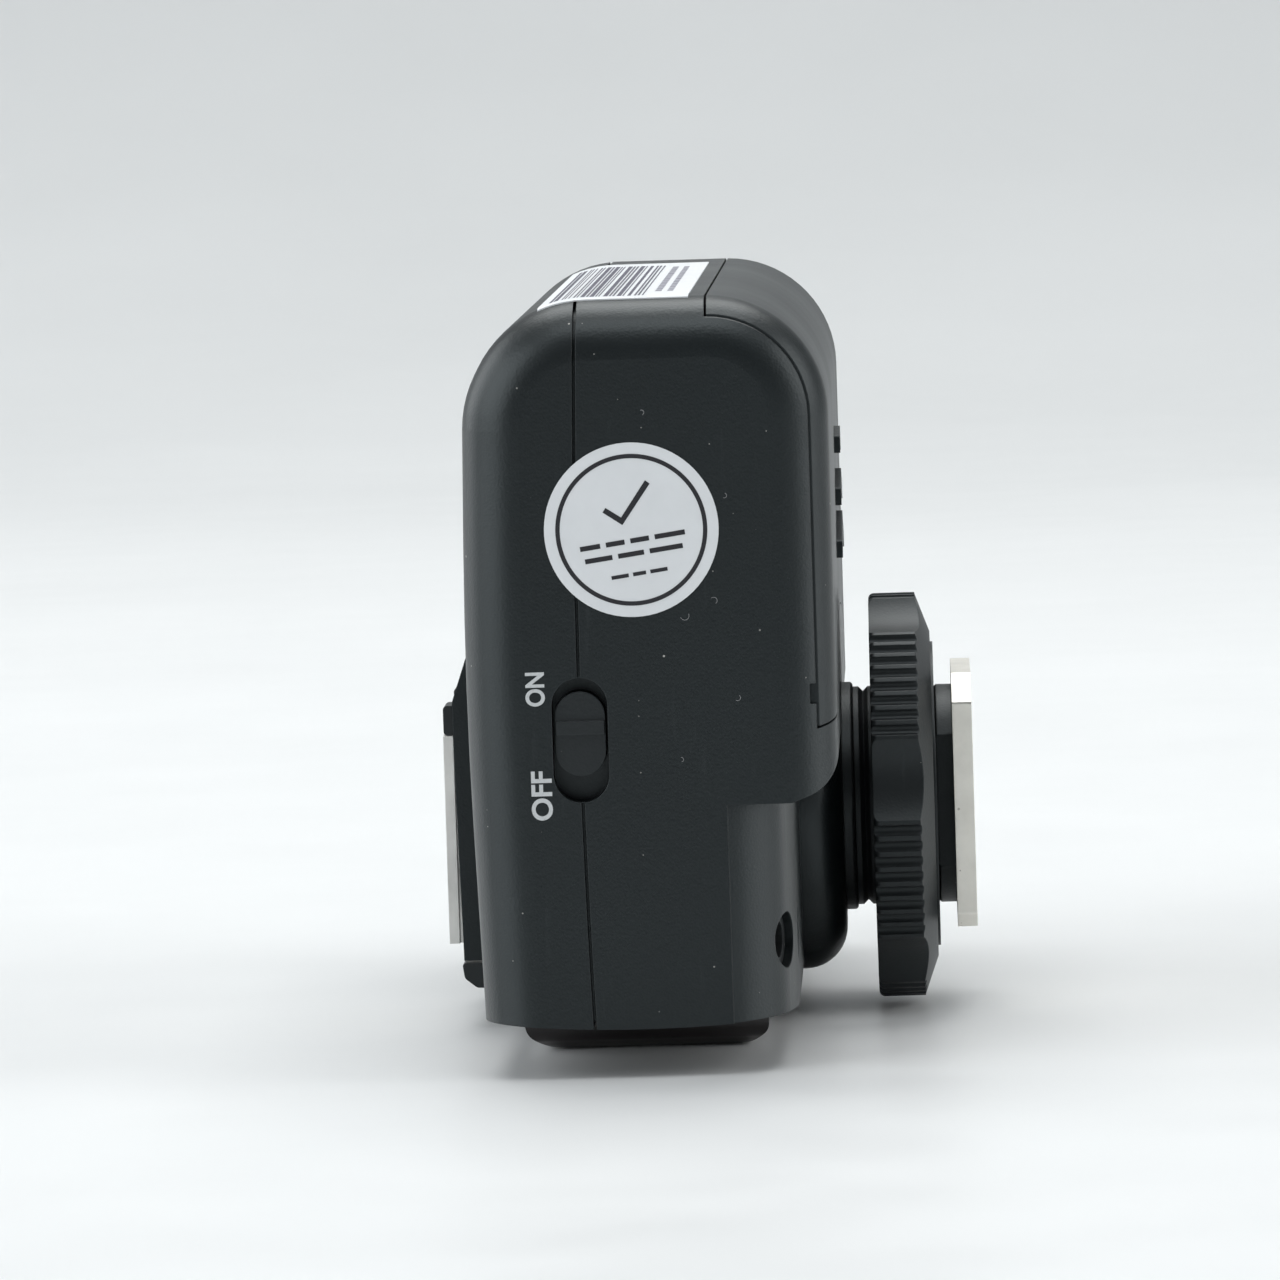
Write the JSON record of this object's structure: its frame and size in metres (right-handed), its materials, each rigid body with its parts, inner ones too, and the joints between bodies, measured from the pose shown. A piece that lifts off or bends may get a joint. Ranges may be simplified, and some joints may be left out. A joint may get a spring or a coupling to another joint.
{
  "type": "wireless flash trigger",
  "caption": "Radio flash trigger transceiver: battery-powered housing with a camera-shoe foot and locking ring on one side and a flash hot shoe on the other.",
  "frame": {"origin": "on the front window's resting face, below the middle of the overall box", "axes": "+X towards the camera-shoe foot, -X towards the hot shoe, +Y along the housing's length away from the power switch, +Z from the front window to the rear face"},
  "size_m": [0.0384, 0.0896, 0.0538],
  "materials": {
    "housing_plastic": "fine-grained matte moulded black",
    "door_plastic": "fine-grained matte moulded black",
    "smoked_window": "polished smoked acrylic",
    "black_nylon": "satin black nylon",
    "shoe_metal": "nickel-plated sheet",
    "spring_steel": "bright rolled strip",
    "foot_metal": "satin nickel-plated plate",
    "ring_plastic": "satin moulded black",
    "contact_gold": "gold-flashed brass",
    "button_plastic": "satin moulded dark grey",
    "knob_plastic": "satin moulded black",
    "board": "green solder mask",
    "chip_plastic": "black epoxy",
    "shield_metal": "tinned sheet",
    "light_pipe_clear": "clear acrylic",
    "led_lens": "moulded lens",
    "cell_wrap": "printed shrink sleeve over the can",
    "screw_steel": "black-oxide steel",
    "plate_screw_steel": "nickel-plated steel",
    "reflector_chrome": "vacuum-metallised",
    "sticker_paper": "coated paper"
  },
  "bodies": {
    "housing": {"top_shell": "housing_plastic", "bottom_shell": "housing_plastic", "front_window": "smoked_window", "shoe_stop": "black_nylon", "hot_shoe_rails": "shoe_metal", "shoe_guides": "black_nylon", "shoe_springs": "spring_steel", "shoe_contact_block": "black_nylon", "shoe_contacts": "contact_gold", "foot_flange": "black_nylon", "foot_column": "ring_plastic", "foot_plate": "foot_metal", "foot_contact_block": "black_nylon", "slide_switch": "shield_metal", "tact_switches": "chip_plastic", "light_pipes": "light_pipe_clear", "status_leds": "led_lens", "main_board": "board", "radio_module": "shield_metal", "antenna": "spring_steel", "processor": "chip_plastic", "battery_tray": "black_nylon", "battery_cell_1": "cell_wrap", "battery_cell_2": "cell_wrap", "battery_springs": "spring_steel", "battery_contacts": "spring_steel", "sync_jack": "black_nylon", "assist_reflector": "reflector_chrome", "assist_lamp": "led_lens", "lamp_board": "board", "case_screws": "screw_steel", "foot_screws": "plate_screw_steel", "inspection_sticker": "sticker_paper", "rear_label": "sticker_paper"},
    "door": {"battery_door": "door_plastic"},
    "power_knob": {"switch_knob": "knob_plastic"},
    "test_button": {"test_button": "button_plastic"},
    "channel_button": {"channel_button": "button_plastic"},
    "washer": {"pressure_washer": "black_nylon"},
    "ring": {"locking_ring": "ring_plastic"},
    "pin_1": {"contact_pin_1": "contact_gold"},
    "pin_2": {"contact_pin_2": "contact_gold"},
    "pin_3": {"contact_pin_3": "contact_gold"},
    "pin_4": {"contact_pin_4": "contact_gold"},
    "pin_5": {"contact_pin_5": "contact_gold"}
  },
  "joints": [
    {"name": "door_slide", "type": "slide", "parent": "housing", "child": "door", "axis": [0, 0, 1], "range_m": [0, 0.032]},
    {"name": "power_slide", "type": "slide", "parent": "housing", "child": "power_knob", "axis": [0, 0, 1], "range_m": [-0.0014, 0]},
    {"name": "test_press", "type": "slide", "parent": "housing", "child": "test_button", "axis": [1, 0, 0], "range_m": [0, 0.00045], "stiffness_N_per_m": 500, "springref_m": -0.0005},
    {"name": "channel_press", "type": "slide", "parent": "housing", "child": "channel_button", "axis": [1, 0, 0], "range_m": [0, 0.00045], "stiffness_N_per_m": 500, "springref_m": -0.0005},
    {"name": "ring_advance", "type": "slide", "parent": "housing", "child": "washer", "axis": [1, 0, 0], "range_m": [-0.0009, 0.0012]},
    {"name": "ring_turn", "type": "hinge", "parent": "washer", "child": "ring", "pos_m": [0.0135, 0, 0.01525], "axis": [1, 0, 0], "range_deg": [-320, 430]},
    {"name": "pin_1_press", "type": "slide", "parent": "housing", "child": "pin_1", "axis": [-1, 0, 0], "range_m": [0, 0.0005], "stiffness_N_per_m": 300, "springref_m": -0.0005},
    {"name": "pin_2_press", "type": "slide", "parent": "housing", "child": "pin_2", "axis": [-1, 0, 0], "range_m": [0, 0.0005], "stiffness_N_per_m": 300, "springref_m": -0.0005},
    {"name": "pin_3_press", "type": "slide", "parent": "housing", "child": "pin_3", "axis": [-1, 0, 0], "range_m": [0, 0.0005], "stiffness_N_per_m": 300, "springref_m": -0.0005},
    {"name": "pin_4_press", "type": "slide", "parent": "housing", "child": "pin_4", "axis": [-1, 0, 0], "range_m": [0, 0.0005], "stiffness_N_per_m": 300, "springref_m": -0.0005},
    {"name": "pin_5_press", "type": "slide", "parent": "housing", "child": "pin_5", "axis": [-1, 0, 0], "range_m": [0, 0.0005], "stiffness_N_per_m": 300, "springref_m": -0.0005}
  ],
  "couplings": [
    {"joint": "ring_advance", "follows": "ring_turn", "m_per_rad": 0.00015915}
  ]
}
